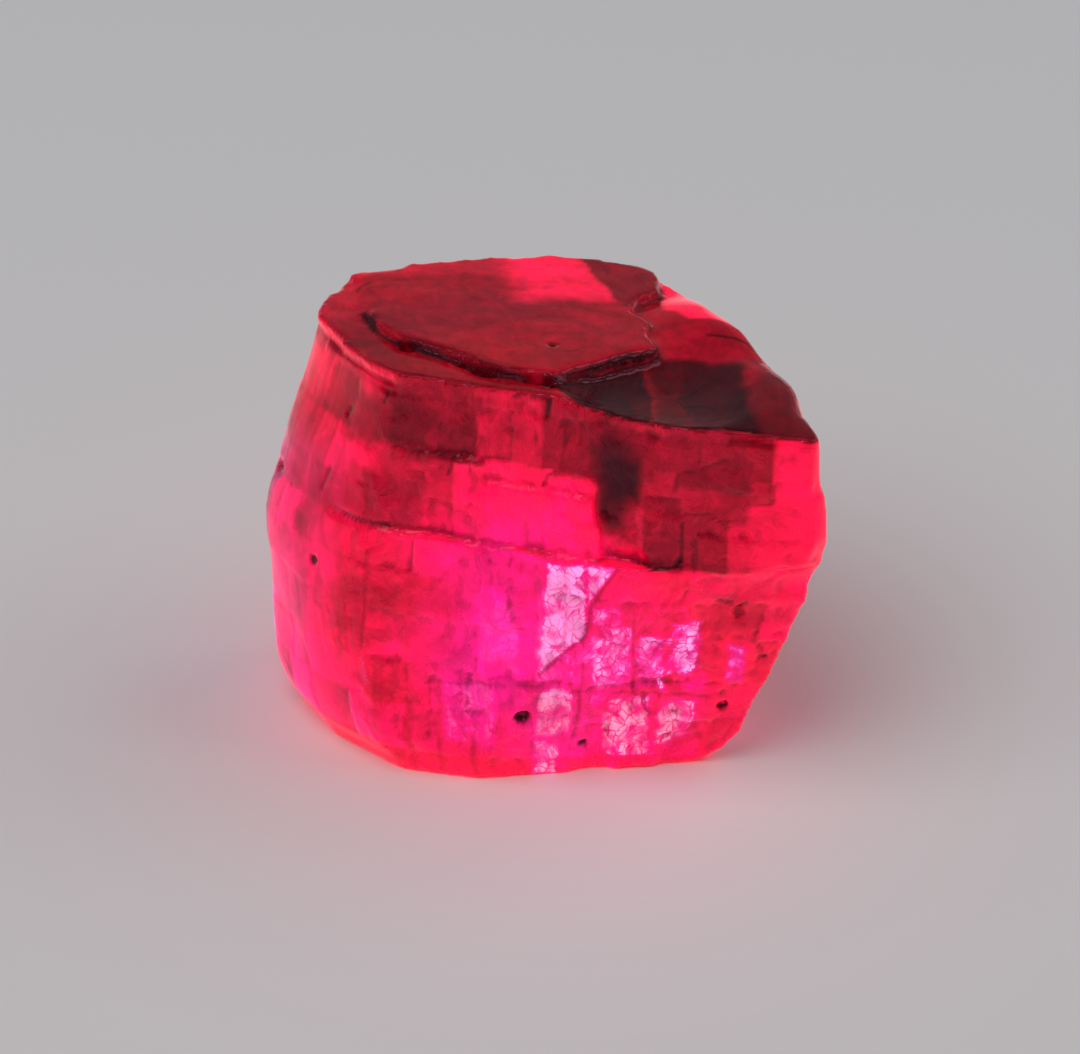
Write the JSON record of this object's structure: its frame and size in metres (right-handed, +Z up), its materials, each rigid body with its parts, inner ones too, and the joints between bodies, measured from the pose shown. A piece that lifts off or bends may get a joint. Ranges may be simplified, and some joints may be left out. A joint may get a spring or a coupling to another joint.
{
  "type": "raw ruby crystal",
  "caption": "Raw ruby crystal: a short barrel-shaped corundum prism with growth ledges, parting blocks, a raised top plate, a flake scar and a flat broken base to stand on.",
  "frame": {"origin": "under the middle of the crystal's box, on the surface that it rests on", "axes": "+Z up from the flat base, +X to the right and -Y to the front, as the picture sees it"},
  "size_m": [0.0158, 0.0116, 0.0126],
  "materials": {
    "ruby": "natural crystal faces, satin to rough on the breaks, see-through deep pink-red"
  },
  "bodies": {
    "root": {"ruby_crystal": "ruby"}
  },
  "joints": []
}
